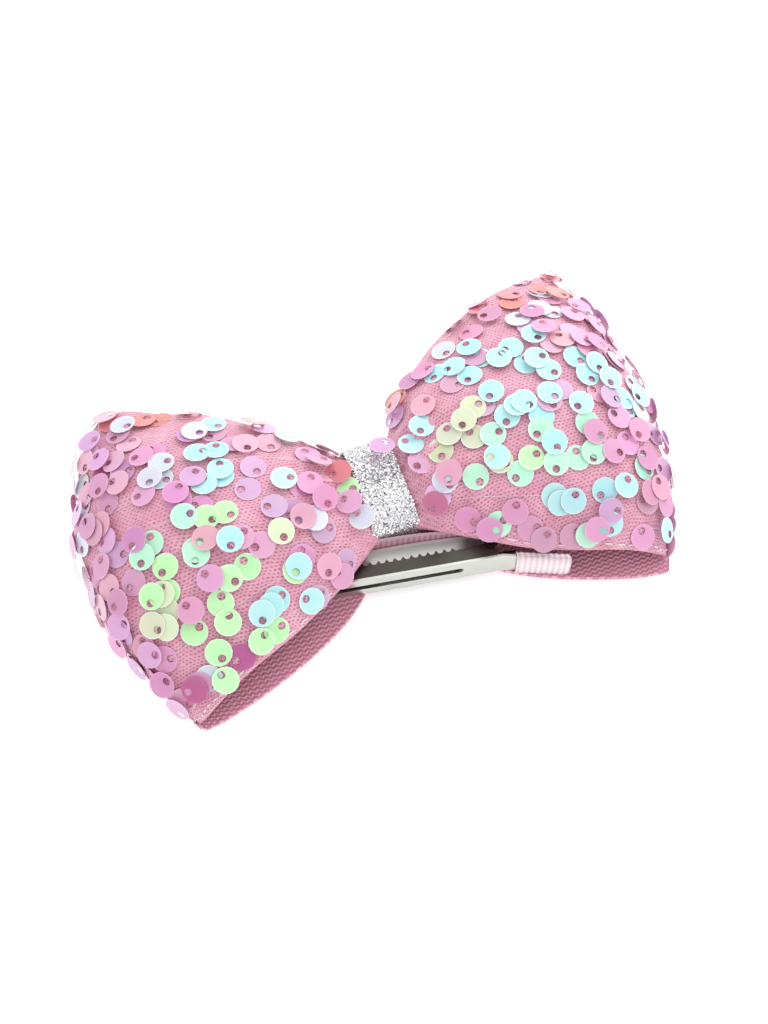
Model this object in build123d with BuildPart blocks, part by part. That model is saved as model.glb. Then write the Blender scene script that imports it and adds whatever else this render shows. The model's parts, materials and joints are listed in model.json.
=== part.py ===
from build123d import *
import math
import os

# A sequin hair bow on a toothed alligator clip, lying on its back.
# X runs along the bow, Y across it, +Z is the front. The back panels lie flat at z = 0.
# All sizes are in millimetres.

# Bow
bow_half_length = 60.0      # centre to outer fold
bow_half_width = 35.0       # half the width at the outer folds
loop_crest = 21.0           # highest point of a loop's front panel
pinch_y = -2.5              # the pinched centre lies a little off the middle
pinch_half_width = 9.0
pinch_base = 1.4            # underside of the gathered centre
pinch_top = 15.4
pinch_corner = 5.0
gather_half_length = 7.0    # half length of the gathered centre along X
front_thickness = 1.5       # sequin knit with its lining
back_thickness = 1.4        # doubled tricot
fold_crest = 6.5            # height of the outer fold at its middle
fold_edge = 5.0             # height of the outer fold at its ends
fold_lift = 0.01            # keeps the fold's underside an arc
edge_swell = 1.0            # a near edge rises this much at mid length
edge_fall = 1.5             # and falls this much before the fold
pleat_tuck = 0.8            # a loop's near end is this much narrower than the pinch
pleat_crest = 0.2           # and this much lower at its middle
pleat_edge = 3.0            # and this much lower at its edges

# Centre
thread_depth = 0.5
thread_half_width = 1.5
band_half_width = 5.0
band_thickness = 0.8
band_gap = 0.2              # band edge to back panel

# Sequins
sequin_radius = 2.5
sequin_thickness = 0.2
sequin_hole_radius = 0.7
sequin_hole_offset = 1.2
sequin_pitch = 5.6
sequin_sink = 0.05          # how far a stitched sequin beds into the knit
edge_margin = 3.0           # sequin centres stay this far from a panel's edge

# Clip
clip_angle = -9.0           # the clip's length against X, in degrees
pivot_x = 17.0
pivot_y = -19.1
clip_width = 6.4            # across the toothed walls
clip_gap = 0.6              # back panel to the pin's head
sheet_thickness = 0.5
jaw_length = 44.0           # pivot to tip
lever_length = 14.5         # pivot to finger end
lever_drop = 3.0            # how far the lever's end stands out from the web
lever_bend = 2.0            # pivot to the bend where the lever and tail start
tail_rise = 3.4
web_offset = 3.4            # pivot to the free jaw's outer face
tip_length = 3.0            # the free jaw's web turns up over this length at its tip
tip_rise = 0.8
wall_bed = 0.3              # how far a toothed wall runs into the web
tooth_height = 0.7
tooth_pitch = 1.65
tooth_count = 21
tooth_line = -0.4           # root line of the teeth
tooth_start = 2.5           # jaw tip to the first tooth
ear_rise = 0.4              # tooth root line to the ear's shoulder
arch_height = 2.3           # inner face of the fixed jaw at mid length
arch_end = 0.7
arch_heel = 1.7             # inner face of the fixed jaw at the pivot
heel_length = 3.0           # pivot to the end of the arch
ear_overlap = 0.2           # how far a fixed ear runs into its jaw
slot_length = 27.0
slot_width = 1.6
slot_end = 6.0              # pivot to the slot's near end
pin_radius = 0.8
pin_head_radius = 1.3
pin_head = 0.3
ear_radius = 1.4
running_clearance = 0.05
side_clearance = 0.1
spring_wire = 0.4
spring_turns = 4
spring_leg = 5.2
ribbon_thickness = 0.4
ribbon_start = 4.5          # pivot to the lever ribbon's near edge
panel_gap = 1.3             # clip to the underside of a front panel's near edge
glue_length = 8.0
glue_depth = 1.6            # trimmed to the gap between band and ribbon
glue_margin = 1.0           # glue stays this far inside the clip's width
glue_x = -1.0

clip_mid_z = back_thickness + clip_gap + pin_head + side_clearance + clip_width / 2
panel_edge = clip_mid_z + clip_width / 2 + ribbon_thickness + panel_gap + front_thickness

os.makedirs("parts", exist_ok=True)
made = {}


def finish(name, part):
    part.label = name
    export_step(part, f"parts/{name}.step")
    made[name] = part


# ---- Loops -------------------------------------------------------------
# Each loop is described at stations along X: (x, middle y, half width, crest z, edge z).
span = bow_half_length - gather_half_length
stations = [
    (
        gather_half_length,
        pinch_y,
        pinch_half_width - pleat_tuck,
        pinch_top - pleat_crest,
        pinch_top - pleat_edge,
    ),
    (gather_half_length + 0.18 * span, 0.8 * pinch_y, 0.47 * bow_half_width, 0.82 * loop_crest, panel_edge),
    (
        gather_half_length + 0.55 * span,
        0.4 * pinch_y,
        0.78 * bow_half_width,
        loop_crest,
        panel_edge + edge_swell,
    ),
    (gather_half_length + 0.88 * span, 0.0, 0.97 * bow_half_width, 0.73 * loop_crest, panel_edge - edge_fall),
    (bow_half_length, 0.0, bow_half_width, fold_crest, fold_edge),
]


def front_panel(side):
    """A crowned shell lofted through crescents, folded down to the back panel at its end."""
    with BuildPart() as panel:
        for x, mid, half, crest, edge in stations:
            folded = x == bow_half_length
            under_crest = back_thickness if folded else crest - front_thickness
            under_edge = back_thickness if folded else edge - front_thickness
            lift = fold_lift if folded else 0.0
            with BuildSketch(Plane(origin=(side * x, mid, 0), x_dir=(0, 1, 0), z_dir=(1, 0, 0))):
                with BuildLine():
                    top = ThreePointArc((-half, edge), (0, crest), (half, edge))
                    low = ThreePointArc((-half, under_edge), (0, under_crest + lift), (half, under_edge))
                    Line(top @ 0, low @ 0)
                    Line(top @ 1, low @ 1)
                make_face()
        loft()
    return panel


def back_panel(side):
    """A flat doubled panel whose outline flares from the pinch to the outer fold."""
    inner = band_half_width + band_gap
    with BuildPart() as panel:
        with BuildSketch(Plane.XY):
            with BuildLine():
                near = [(side * s[0], s[1] - s[2]) for s in stations]
                far = [(side * s[0], s[1] + s[2]) for s in reversed(stations)]
                start = (side * inner, near[0][1])
                end = (side * inner, far[-1][1])
                Polyline(start, *near, *far, end, close=True)
            make_face()
        extrude(amount=back_thickness)
    return panel


for side_name, side in (("left", -1), ("right", 1)):
    front = front_panel(side)
    finish(f"{side_name}_front_panel", front.part)
    back = back_panel(side)
    finish(f"{side_name}_back_panel", back.part)


def half_width_at(x):
    """Middle y and half width of a loop at distance x from the centre."""
    for a, b in zip(stations, stations[1:]):
        if a[0] <= x <= b[0]:
            share = (x - a[0]) / (b[0] - a[0])
            return a[1] + share * (b[1] - a[1]), a[2] + share * (b[2] - a[2])
    raise ValueError(x)


def sequin_sites(side, shell):
    """Staggered rows over a front panel, each site turned to the panel's own surface."""
    sites = []
    columns = int((span - 2 * edge_margin) / sequin_pitch)
    for i in range(columns + 1):
        x = gather_half_length + edge_margin + i * sequin_pitch
        mid, half = half_width_at(x)
        rows = int((half - edge_margin) / sequin_pitch)
        shift = 0.5 * sequin_pitch if i % 2 else 0.0
        for j in range(-rows, rows + 1):
            y = mid + j * sequin_pitch + shift
            if y > mid + half - edge_margin:
                continue
            hits = shell.find_intersection_points(Axis((side * x, y, 0), (0, 0, 1)))
            point, normal = max(hits, key=lambda hit: hit[0].Z)
            sites.append(Plane(origin=point - normal * sequin_sink, z_dir=normal))
    return sites


for side_name, side in (("left", -1), ("right", 1)):
    sites = sequin_sites(side, made[f"{side_name}_front_panel"])
    with BuildPart() as sequins:
        with BuildSketch(*sites):
            Circle(sequin_radius)
            with Locations((sequin_hole_offset, 0)):
                Circle(sequin_hole_radius, mode=Mode.SUBTRACT)
        extrude(amount=sequin_thickness)
    finish(f"{side_name}_sequins", sequins.part)

# ---- Gathered centre ---------------------------------------------------
pinch_height = pinch_top - pinch_base
pinch_mid_z = pinch_base + pinch_height / 2
centre_plane = Plane(origin=(0, pinch_y, pinch_mid_z), x_dir=(0, 1, 0), z_dir=(1, 0, 0))


def centre_outline(grow):
    """The rounded section of the pinched centre, grown or shrunk all round."""
    RectangleRounded(2 * (pinch_half_width + grow), pinch_height + 2 * grow, pinch_corner + grow)


with BuildPart() as gather:
    with BuildSketch(centre_plane):
        centre_outline(0)
    extrude(amount=gather_half_length, both=True)
    with BuildSketch(centre_plane):
        centre_outline(1)
        with BuildSketch(centre_plane, mode=Mode.SUBTRACT):
            centre_outline(-thread_depth)
    extrude(amount=thread_half_width, both=True, mode=Mode.SUBTRACT)
finish("centre_gather", gather.part)

with BuildPart() as thread:
    with BuildSketch(centre_plane):
        centre_outline(0)
        with BuildSketch(centre_plane, mode=Mode.SUBTRACT):
            centre_outline(-thread_depth)
    extrude(amount=thread_half_width, both=True)
finish("gather_thread", thread.part)

with BuildPart() as band:
    with BuildSketch(centre_plane):
        centre_outline(band_thickness)
        with BuildSketch(centre_plane, mode=Mode.SUBTRACT):
            centre_outline(0)
    extrude(amount=band_half_width, both=True)
finish("glitter_band", band.part)

# ---- Clip --------------------------------------------------------------
# Clip frame: origin on the pivot's axis at mid width, x towards the lever, y towards the bow.
turn = math.radians(clip_angle)
clip_x = (math.cos(turn), math.sin(turn), 0)
pivot = (pivot_x, pivot_y, clip_mid_z)
clip_plane = Plane(origin=pivot, x_dir=clip_x, z_dir=(0, 0, 1))
web_plane = Plane(origin=pivot, x_dir=clip_x, z_dir=(math.sin(turn), -math.cos(turn), 0))
half_clip = clip_width / 2
wall_inside = half_clip - sheet_thickness
inner_ear = wall_inside - side_clearance


def strip(points, thickness):
    """A bent strip: the points on one face, and the same points moved by its thickness."""
    moved = [(x, y + thickness) for x, y in reversed(points)]
    Polyline(*points, *moved, close=True)


lever_slope = lever_drop / (lever_length - lever_bend)
free_line = [
    (-jaw_length, -web_offset + tip_rise),
    (-jaw_length + tip_length, -web_offset),
    (lever_bend, -web_offset),
    (lever_length, -web_offset - lever_drop),
]
with BuildPart() as free_jaw:
    with BuildSketch(clip_plane):
        with BuildLine():
            strip(free_line, sheet_thickness)
        make_face()
    extrude(amount=half_clip, both=True)
    # Toothed side walls, with an ear round the pin at the pivot end.
    wall_ends = (wall_inside, -half_clip)
    for height in wall_ends:
        with BuildSketch(clip_plane.offset(height)):
            with BuildLine():
                first = -jaw_length + tooth_start
                points = [(first, -web_offset + wall_bed)]
                for i in range(tooth_count):
                    x = first + i * tooth_pitch
                    points.append((x + 0.2 * tooth_pitch, tooth_line))
                    points.append((x + 0.5 * tooth_pitch, tooth_line + tooth_height))
                    points.append((x + 0.8 * tooth_pitch, tooth_line))
                points.append((first + tooth_count * tooth_pitch, tooth_line))
                points.append((0, tooth_line + ear_rise))
                points.append((ear_radius, -web_offset + wall_bed))
                Polyline(*points, close=True)
            make_face()
            Circle(ear_radius)
            Circle(pin_radius + running_clearance, mode=Mode.SUBTRACT)
        extrude(amount=sheet_thickness)
    slot_middle = -(slot_end + slot_length / 2)
    with BuildSketch(web_plane.offset(web_offset - 2 * sheet_thickness)):
        with Locations((slot_middle, 0)):
            SlotOverall(slot_length, slot_width)
    extrude(amount=3 * sheet_thickness, mode=Mode.SUBTRACT)
finish("clip_free_jaw", free_jaw.part)



def arch(offset):
    """The fixed jaw's arch, moved towards the bow by an offset from its inner face."""
    tip = (-jaw_length, arch_end + offset)
    middle = (-jaw_length / 2, arch_height + offset)
    heel = (-heel_length, arch_heel + offset)
    return ThreePointArc(tip, middle, heel)


with BuildPart() as fixed_jaw:
    with BuildSketch(clip_plane):
        with BuildLine():
            inner = arch(0)
            outer = arch(sheet_thickness)
            Line(inner @ 0, outer @ 0)
            tail_inner = (lever_length, arch_heel + tail_rise)
            tail_outer = (lever_length, arch_heel + tail_rise + sheet_thickness)
            Polyline(inner @ 1, (lever_bend, arch_heel), tail_inner)
            Polyline(outer @ 1, (lever_bend, arch_heel + sheet_thickness), tail_outer)
            Line(tail_inner, tail_outer)
        make_face()
    extrude(amount=half_clip, both=True)
    for height in (inner_ear - sheet_thickness, -inner_ear):
        with BuildSketch(clip_plane.offset(height)):
            Circle(ear_radius)
            with Locations((0, (arch_heel + ear_overlap) / 2)):
                Rectangle(2 * ear_radius, arch_heel + ear_overlap)
            Circle(pin_radius, mode=Mode.SUBTRACT)
        extrude(amount=sheet_thickness)
finish("clip_fixed_jaw", fixed_jaw.part)

with BuildPart() as pin:
    with BuildSketch(clip_plane):
        Circle(pin_radius)
    extrude(amount=half_clip + side_clearance, both=True)
    for height in (half_clip + side_clearance, -half_clip - side_clearance - pin_head):
        with BuildSketch(clip_plane.offset(height)):
            Circle(pin_head_radius)
        extrude(amount=pin_head)
finish("pivot_pin", pin.part)

# Torsion spring: closely wound rings round the pin between the fixed jaw's ears, with two legs.
spring_inside = pin_radius + running_clearance
spring_height = spring_turns * spring_wire
with BuildPart() as spring:
    with BuildSketch(clip_plane.offset(-spring_height / 2)):
        Circle(spring_inside + spring_wire)
        Circle(spring_inside, mode=Mode.SUBTRACT)
    extrude(amount=spring_height)
    with BuildSketch(clip_plane.offset(spring_height / 2 - spring_wire)):
        with Locations((spring_leg / 2, spring_inside + spring_wire / 2)):
            Rectangle(spring_leg, spring_wire)
    extrude(amount=spring_wire)
    with BuildSketch(clip_plane.offset(-spring_height / 2)):
        with Locations((spring_leg / 2, -spring_inside - spring_wire / 2)):
            Rectangle(spring_leg, spring_wire)
    extrude(amount=spring_wire)
finish("torsion_spring", spring.part)

# ---- Ribbons and glue --------------------------------------------------
sleeve_line = [
    (x, -web_offset - lever_slope * (x - lever_bend)) for x in (ribbon_start, lever_length)
]
sleeve_outer = [(x, y - ribbon_thickness) for x, y in sleeve_line]
with BuildPart() as lever_ribbon:
    with BuildSketch(clip_plane):
        with BuildLine():
            strip(sleeve_outer, sheet_thickness + 2 * ribbon_thickness)
        make_face()
    extrude(amount=half_clip + ribbon_thickness, both=True)
    with BuildSketch(clip_plane):
        with BuildLine():
            strip(sleeve_line, sheet_thickness)
        make_face()
    extrude(amount=half_clip, both=True, mode=Mode.SUBTRACT)
finish("lever_ribbon", lever_ribbon.part)

ribbon_outside = sheet_thickness + ribbon_thickness
with BuildPart() as jaw_ribbon:
    with BuildSketch(clip_plane):
        with BuildLine():
            near_arc = arch(sheet_thickness)
            far_arc = arch(ribbon_outside)
            Line(near_arc @ 0, far_arc @ 0)
            Line(near_arc @ 1, far_arc @ 1)
        make_face()
    extrude(amount=half_clip, both=True)
finish("jaw_ribbon", jaw_ribbon.part)

band_face_y = pinch_y - pinch_half_width - band_thickness
with BuildPart() as glue_pad:
    with BuildSketch(Plane.XY.offset(clip_mid_z - half_clip + glue_margin)):
        with Locations((glue_x, band_face_y - glue_depth / 2)):
            Rectangle(glue_length, glue_depth)
    extrude(amount=clip_width - 2 * glue_margin)
    with BuildSketch(clip_plane):
        with BuildLine():
            keep_off = arch(ribbon_outside)
            below = -web_offset - arch_height
            Polyline(keep_off @ 1, (0, below), (-jaw_length, below), keep_off @ 0)
        make_face()
    extrude(amount=clip_width, both=True, mode=Mode.SUBTRACT)
    with BuildSketch(centre_plane):
        centre_outline(band_thickness)
    extrude(amount=2 * band_half_width, both=True, mode=Mode.SUBTRACT)
finish("glue_pad", glue_pad.part)
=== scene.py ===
import json
import math
import bpy
import numpy as np
from mathutils import Matrix


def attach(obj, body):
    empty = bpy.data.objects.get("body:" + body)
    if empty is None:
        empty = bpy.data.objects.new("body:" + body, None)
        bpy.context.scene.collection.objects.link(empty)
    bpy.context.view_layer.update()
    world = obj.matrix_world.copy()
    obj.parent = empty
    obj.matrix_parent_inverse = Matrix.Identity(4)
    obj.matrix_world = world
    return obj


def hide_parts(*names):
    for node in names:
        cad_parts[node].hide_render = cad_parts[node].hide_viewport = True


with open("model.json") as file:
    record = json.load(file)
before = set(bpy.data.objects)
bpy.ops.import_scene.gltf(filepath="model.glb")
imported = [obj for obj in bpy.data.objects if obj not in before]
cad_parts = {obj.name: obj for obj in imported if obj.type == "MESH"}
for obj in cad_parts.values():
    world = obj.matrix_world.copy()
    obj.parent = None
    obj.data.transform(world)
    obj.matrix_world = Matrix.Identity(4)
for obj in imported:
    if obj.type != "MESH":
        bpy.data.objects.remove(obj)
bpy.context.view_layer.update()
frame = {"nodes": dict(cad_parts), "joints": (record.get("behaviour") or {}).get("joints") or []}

mm = 0.001
print("stage: frame loaded")

# Camera
camera = {
    "aim": (0.0, -0.0025, 0.008),   # the pinched centre
    "distance": 0.300,
    "yaw": 20.0,                    # the bow's length against the view, in degrees
    "elevation": 62.0,
    "slide": (0.66 * mm, -2.26 * mm),   # the aim point sits a little off the middle
    "lens": 35.0,
    "sensor": 24.0,
}


def makeCamera(c):
    # back is the line from the aim to the lens; right and up span the view
    yaw, rise = math.radians(c["yaw"]), math.radians(c["elevation"])
    right = np.array([math.cos(yaw), -math.sin(yaw), 0.0])
    up = np.array([math.sin(yaw) * math.sin(rise), math.cos(yaw) * math.sin(rise), math.cos(rise)])
    back = np.cross(right, up)
    place = np.array(c["aim"]) + c["distance"] * back + c["slide"][0] * right + c["slide"][1] * up
    data = bpy.data.cameras.new("camera")
    data.lens, data.sensor_height, data.sensor_fit = c["lens"], c["sensor"], "VERTICAL"
    data.clip_start = 0.01
    obj = bpy.data.objects.new("camera", data)
    bpy.context.collection.objects.link(obj)
    matrix = np.eye(4)
    matrix[:3, :3] = np.stack([right, up, back], 1)
    matrix[:3, 3] = place
    obj.matrix_world = Matrix(matrix.tolist())
    bpy.context.scene.camera = obj


makeCamera(camera)

# Mesh helpers


def gridFaces(rows, columns, wrap=False):
    # quads between neighbouring points of a grid; wrap joins the last column to the first
    across = columns if wrap else columns - 1
    i, j = np.meshgrid(np.arange(rows - 1), np.arange(across), indexing="ij")
    a = i * columns + j
    b = i * columns + (j + 1) % columns
    return np.stack([a, b, b + columns, a + columns], -1).reshape(-1, 4)


def tubeGrid(start, rows, columns):
    # parameters of a closed tube: s from start to 1 along it, the angle once round it
    angle = np.linspace(0, 2 * math.pi, columns, endpoint=False)
    return np.meshgrid(np.linspace(start, 1, rows), angle, indexing="ij")


def addPiece(name, points, faces, materials, body="bow", uv=None, tint=None, flat=False):
    # points in metres, faces as rows of point numbers; uv and tint are given per point
    mesh = bpy.data.meshes.new(name)
    points = np.asarray(points, float).reshape(-1, 3)
    faces = np.asarray(faces, np.int32)
    corners = faces.shape[1]
    mesh.vertices.add(len(points))
    mesh.vertices.foreach_set("co", points.astype(np.float32).ravel())
    mesh.loops.add(faces.size)
    mesh.loops.foreach_set("vertex_index", faces.ravel())
    mesh.polygons.add(len(faces))
    mesh.polygons.foreach_set("loop_start", np.arange(0, faces.size, corners, dtype=np.int32))
    mesh.update(calc_edges=True)
    mesh.polygons.foreach_set("use_smooth", np.full(len(faces), not flat))
    if uv is not None:
        layer = mesh.uv_layers.new(name="cloth")
        layer.data.foreach_set("uv", np.asarray(uv, np.float32).reshape(-1, 2)[faces.ravel()].ravel())
    if tint is not None:
        colours = mesh.color_attributes.new("tint", "FLOAT_COLOR", "POINT")
        colours.data.foreach_set("color", np.asarray(tint, np.float32).ravel())
    mesh.validate()
    obj = bpy.data.objects.new(name, mesh)
    bpy.context.collection.objects.link(obj)
    for material in materials:
        mesh.materials.append(material)
    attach(obj, body)
    return obj


def throughStations(values, u):
    # a smooth curve through evenly numbered values: Catmull-Rom weights on the four nearest
    values = np.asarray(values, float)
    last = len(values) - 1
    place = np.clip(u, 0, 1) * last
    i = np.minimum(place.astype(int), last - 1)
    f = place - i
    a, b = values[np.maximum(i - 1, 0)], values[i]
    c, d = values[i + 1], values[np.minimum(i + 2, last)]
    return 0.5 * (2 * b + (c - a) * f + (2 * a - 5 * b + 4 * c - d) * f**2 + (3 * b - a - 3 * c + d) * f**3)


def unit(v):
    return v / np.maximum(np.linalg.norm(v, axis=-1, keepdims=True), 1e-12)


def solidify(obj, thickness, offset=-1.0, lining=0):
    m = obj.modifiers.new("thickness", "SOLIDIFY")
    m.thickness, m.offset, m.use_even_offset = thickness, offset, False
    m.material_offset = lining
    m.material_offset_rim = lining
    return m


# Shader helpers


class Nodes:
    # a short way to write node trees: add(type, socket=value or (node, output))
    def __init__(self, tree):
        self.tree = tree

    def add(self, kind, settings=None, **inputs):
        node = self.tree.nodes.new(kind)
        for key, value in (settings or {}).items():
            setattr(node, key, value)
        for key, value in inputs.items():
            self.put(node, key, value)
        return node

    def put(self, node, key, value):
        socket = node.inputs[int(key[1:]) if key[0] == "i" and key[1:].isdigit() else key.replace("_", " ")]
        if isinstance(value, tuple) and hasattr(value[0], "outputs"):
            self.tree.links.new(value[0].outputs[value[1]], socket)
        else:
            socket.default_value = value

    def math(self, operation, a, b=0.0, c=0.0, clamp=False):
        node = self.add("ShaderNodeMath", {"operation": operation, "use_clamp": clamp}, i0=a, i1=b, i2=c)
        return node, 0

    def ramp(self, value, stops):
        node = self.add("ShaderNodeValToRGB", i0=value)
        elements = node.color_ramp.elements
        elements[0].position, elements[0].color = stops[0][0], (*stops[0][1], 1)
        elements[1].position, elements[1].color = stops[-1][0], (*stops[-1][1], 1)
        for place, colour in stops[1:-1]:
            elements.new(place).color = (*colour, 1)
        return node, 0

    def mix(self, share, a, b):
        node = self.add("ShaderNodeMix", {"data_type": "RGBA"})
        self.put(node, "i0", share)
        self.put(node, "i6", a if isinstance(a[0], bpy.types.Node) else (*a, 1))
        self.put(node, "i7", b if isinstance(b[0], bpy.types.Node) else (*b, 1))
        return node, 2

    def bump(self, height, distance, strength=1.0):
        node = self.add("ShaderNodeBump", Strength=strength, Distance=distance, Height=height)
        return node, 0


def newMaterial(name):
    material = bpy.data.materials.new(name)
    material.use_nodes = True
    material.node_tree.nodes.clear()
    n = Nodes(material.node_tree)
    shader = n.add("ShaderNodeBsdfPrincipled")
    n.add("ShaderNodeOutputMaterial", Surface=(shader, 0))
    return material, n, shader


def newGroup(name, inputs, outputs):
    # a node group with named sockets: {name: (type, default)} and {name: type}
    tree = bpy.data.node_groups.new(name, "ShaderNodeTree")
    for label, (kind, value) in inputs.items():
        socket = tree.interface.new_socket(label, in_out="INPUT", socket_type=kind)
        if value is not None:
            socket.default_value = value
    for label, kind in outputs.items():
        tree.interface.new_socket(label, in_out="OUTPUT", socket_type=kind)
    return tree, Nodes(tree), tree.nodes.new("NodeGroupInput"), tree.nodes.new("NodeGroupOutput")


def useGroup(n, tree, **inputs):
    node = n.add("ShaderNodeGroup", {"node_tree": tree})
    for key, value in inputs.items():
        n.put(node, key, value)
    return node


def makeYarnGroup():
    # fine yarn rows: a wave along one direction of the cloth's own map, broken by slow noise
    floatKind = "NodeSocketFloat"
    tree, n, start, end = newGroup(
        "yarnRows",
        {"Vector": ("NodeSocketVector", None), "Rows": (floatKind, 1.0), "Zig": (floatKind, 0.0),
         "Zig Pitch": (floatKind, 1.0)},
        {"Height": floatKind, "Shade": floatKind},
    )
    parts = n.add("ShaderNodeSeparateXYZ", i0=(start, "Vector"))
    zigPlace = n.math("DIVIDE", (parts, 0), (start, "Zig Pitch"))
    zig = n.math("PINGPONG", zigPlace, 0.5)
    shifted = n.math("ADD", (parts, 1), n.math("MULTIPLY", zig, (start, "Zig")))
    wave = n.math("SINE", n.math("MULTIPLY", n.math("DIVIDE", shifted, (start, "Rows")), 2 * math.pi))
    height = n.math("MULTIPLY_ADD", wave, 0.5, 0.5)
    noise = n.add("ShaderNodeTexNoise", Vector=(start, "Vector"), Scale=2.3, Detail=3.0)
    shade = n.math("MULTIPLY_ADD", (noise, 0), 0.5, n.math("MULTIPLY", height, 0.5))
    n.put(end, "Height", height)
    n.put(end, "Shade", shade)
    return tree


yarnRows = makeYarnGroup()

# The clip's own axes
clip = {
    "pivot": frame["joints"][0]["pos_m"], "turn": -9.0,   # metres, degrees
    "halfWidth": 3.2, "web": -3.4, "sheet": 0.5,          # mm; web is the free jaw's outer face
    "wallShadeStart": 0.48,                                    # painted shade darkens the side walls from here inwards
    "ribPitch": 1.1,                                      # cross ribs of both ribbons
}
turn = math.radians(clip["turn"])
clipDepth = -math.sin(turn) * clip["pivot"][0] + math.cos(turn) * clip["pivot"][1]

# Materials
knit = {
    "light": (0.84, 0.43, 0.55), "mid": (0.72, 0.31, 0.43), "dark": (0.46, 0.12, 0.20),
    "rowPitch": 0.66, "dashPitch": 0.92, "wander": 0.5,     # mm of cloth
}
tricot = {
    "light": (0.88, 0.44, 0.57), "dark": (0.52, 0.14, 0.24),
    "rows": 0.95, "zig": 0.9, "zigPitch": 1.5,
}


def makeKnit():
    # rows of stitches with short dark dashes between them, read from the cloth's map in mm
    material, n, shader = newMaterial("sequinKnit")
    cloth = n.add("ShaderNodeUVMap", {"uv_map": "cloth"})
    parts = n.add("ShaderNodeSeparateXYZ", i0=(cloth, 0))
    drift = n.add("ShaderNodeTexNoise", Vector=(cloth, 0), Scale=0.22, Detail=2.0)
    across = n.math("MULTIPLY_ADD", (drift, 0), 4.0 * knit["wander"], (parts, 1))
    row = n.math("DIVIDE", across, knit["rowPitch"])
    odd = n.math("MULTIPLY", n.math("FLOOR", row), 0.5)
    band = n.math("SINE", n.math("MULTIPLY", row, 2 * math.pi))
    stitch = n.math("ADD", n.math("DIVIDE", (parts, 0), knit["dashPitch"]), odd)
    along = n.math("SINE", n.math("MULTIPLY", stitch, 2 * math.pi))
    hole = n.math("MULTIPLY", n.math("MULTIPLY_ADD", band, 1.5, -0.3, clamp=True),
                  n.math("MULTIPLY_ADD", along, 1.2, 0.45, clamp=True))
    patch = n.add("ShaderNodeTexNoise", Vector=(cloth, 0), Scale=0.9, Detail=3.0)
    hole = n.math("MULTIPLY", hole, n.math("MULTIPLY_ADD", (patch, 0), 1.8, -0.15, clamp=True))
    wear = n.add("ShaderNodeTexNoise", Vector=(cloth, 0), Scale=0.30, Detail=5.0)
    base = n.ramp((wear, 0), [(0.32, knit["mid"]), (0.68, knit["light"])])
    colour = n.mix(n.math("MULTIPLY", hole, 0.85), base, knit["dark"])
    fine = n.add("ShaderNodeTexNoise", Vector=(cloth, 0), Scale=6.0, Detail=2.0)
    n.put(shader, "Base Color", colour)
    shader.inputs["Roughness"].default_value = 0.62
    shader.inputs["Sheen Weight"].default_value = 0.35
    shader.inputs["Sheen Roughness"].default_value = 0.45
    shader.inputs["Subsurface Weight"].default_value = 0.12
    shader.inputs["Subsurface Radius"].default_value = (1.0, 0.5, 0.5)
    shader.inputs["Subsurface Scale"].default_value = 0.0012
    height = n.math("SUBTRACT", n.math("MULTIPLY", (fine, 0), 0.3), hole)
    n.put(shader, "Normal", n.bump(height, 0.00022))
    return material


def makeTricot(name, light, dark):
    # chevron tricot: zigzag ribs along the cloth's length
    material, n, shader = newMaterial(name)
    cloth = n.add("ShaderNodeUVMap", {"uv_map": "cloth"})
    rows = useGroup(n, yarnRows, Vector=(cloth, 0), Rows=tricot["rows"], Zig=tricot["zig"],
                    Zig_Pitch=tricot["zigPitch"])
    n.put(shader, "Base Color", n.mix(n.math("MULTIPLY_ADD", (rows, 0), 0.75, 0.1), dark, light))
    shader.inputs["Roughness"].default_value = 0.7
    shader.inputs["Sheen Weight"].default_value = 0.3
    fine = n.add("ShaderNodeTexNoise", Vector=(cloth, 0), Scale=7.0, Detail=2.0)
    height = n.math("MULTIPLY_ADD", (fine, 0), 0.25, (rows, 0))
    n.put(shader, "Normal", n.bump(height, 0.00025))
    return material


def makeSequin():
    # thin pearl film: the tint is each sequin's own, with a clear glossy coat
    material, n, shader = newMaterial("sequinFilm")
    tint = n.add("ShaderNodeAttribute", {"attribute_name": "tint"})
    place = n.add("ShaderNodeTexCoord")
    haze = n.add("ShaderNodeTexNoise", Vector=(place, "Object"), Scale=900.0, Detail=2.0)
    n.put(shader, "Base Color", (tint, "Color"))
    n.put(shader, "Alpha", (tint, "Alpha"))
    n.put(shader, "Roughness", n.math("MULTIPLY_ADD", (haze, 0), 0.16, 0.16))
    shader.inputs["Metallic"].default_value = 0.0
    shader.inputs["Coat Weight"].default_value = 0.35
    shader.inputs["Coat Roughness"].default_value = 0.15
    shader.inputs["Specular IOR Level"].default_value = 0.5
    return material


glitter = {
    "cells": 3600.0, "lean": 1.3,      # flakes to a metre, and how far their normals lean
    "greys": [(0.0, (0.10, 0.10, 0.11)), (0.35, (0.42, 0.42, 0.45)),
              (0.7, (0.85, 0.86, 0.88)), (1.0, (1.0, 1.0, 1.0))],
}


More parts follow.
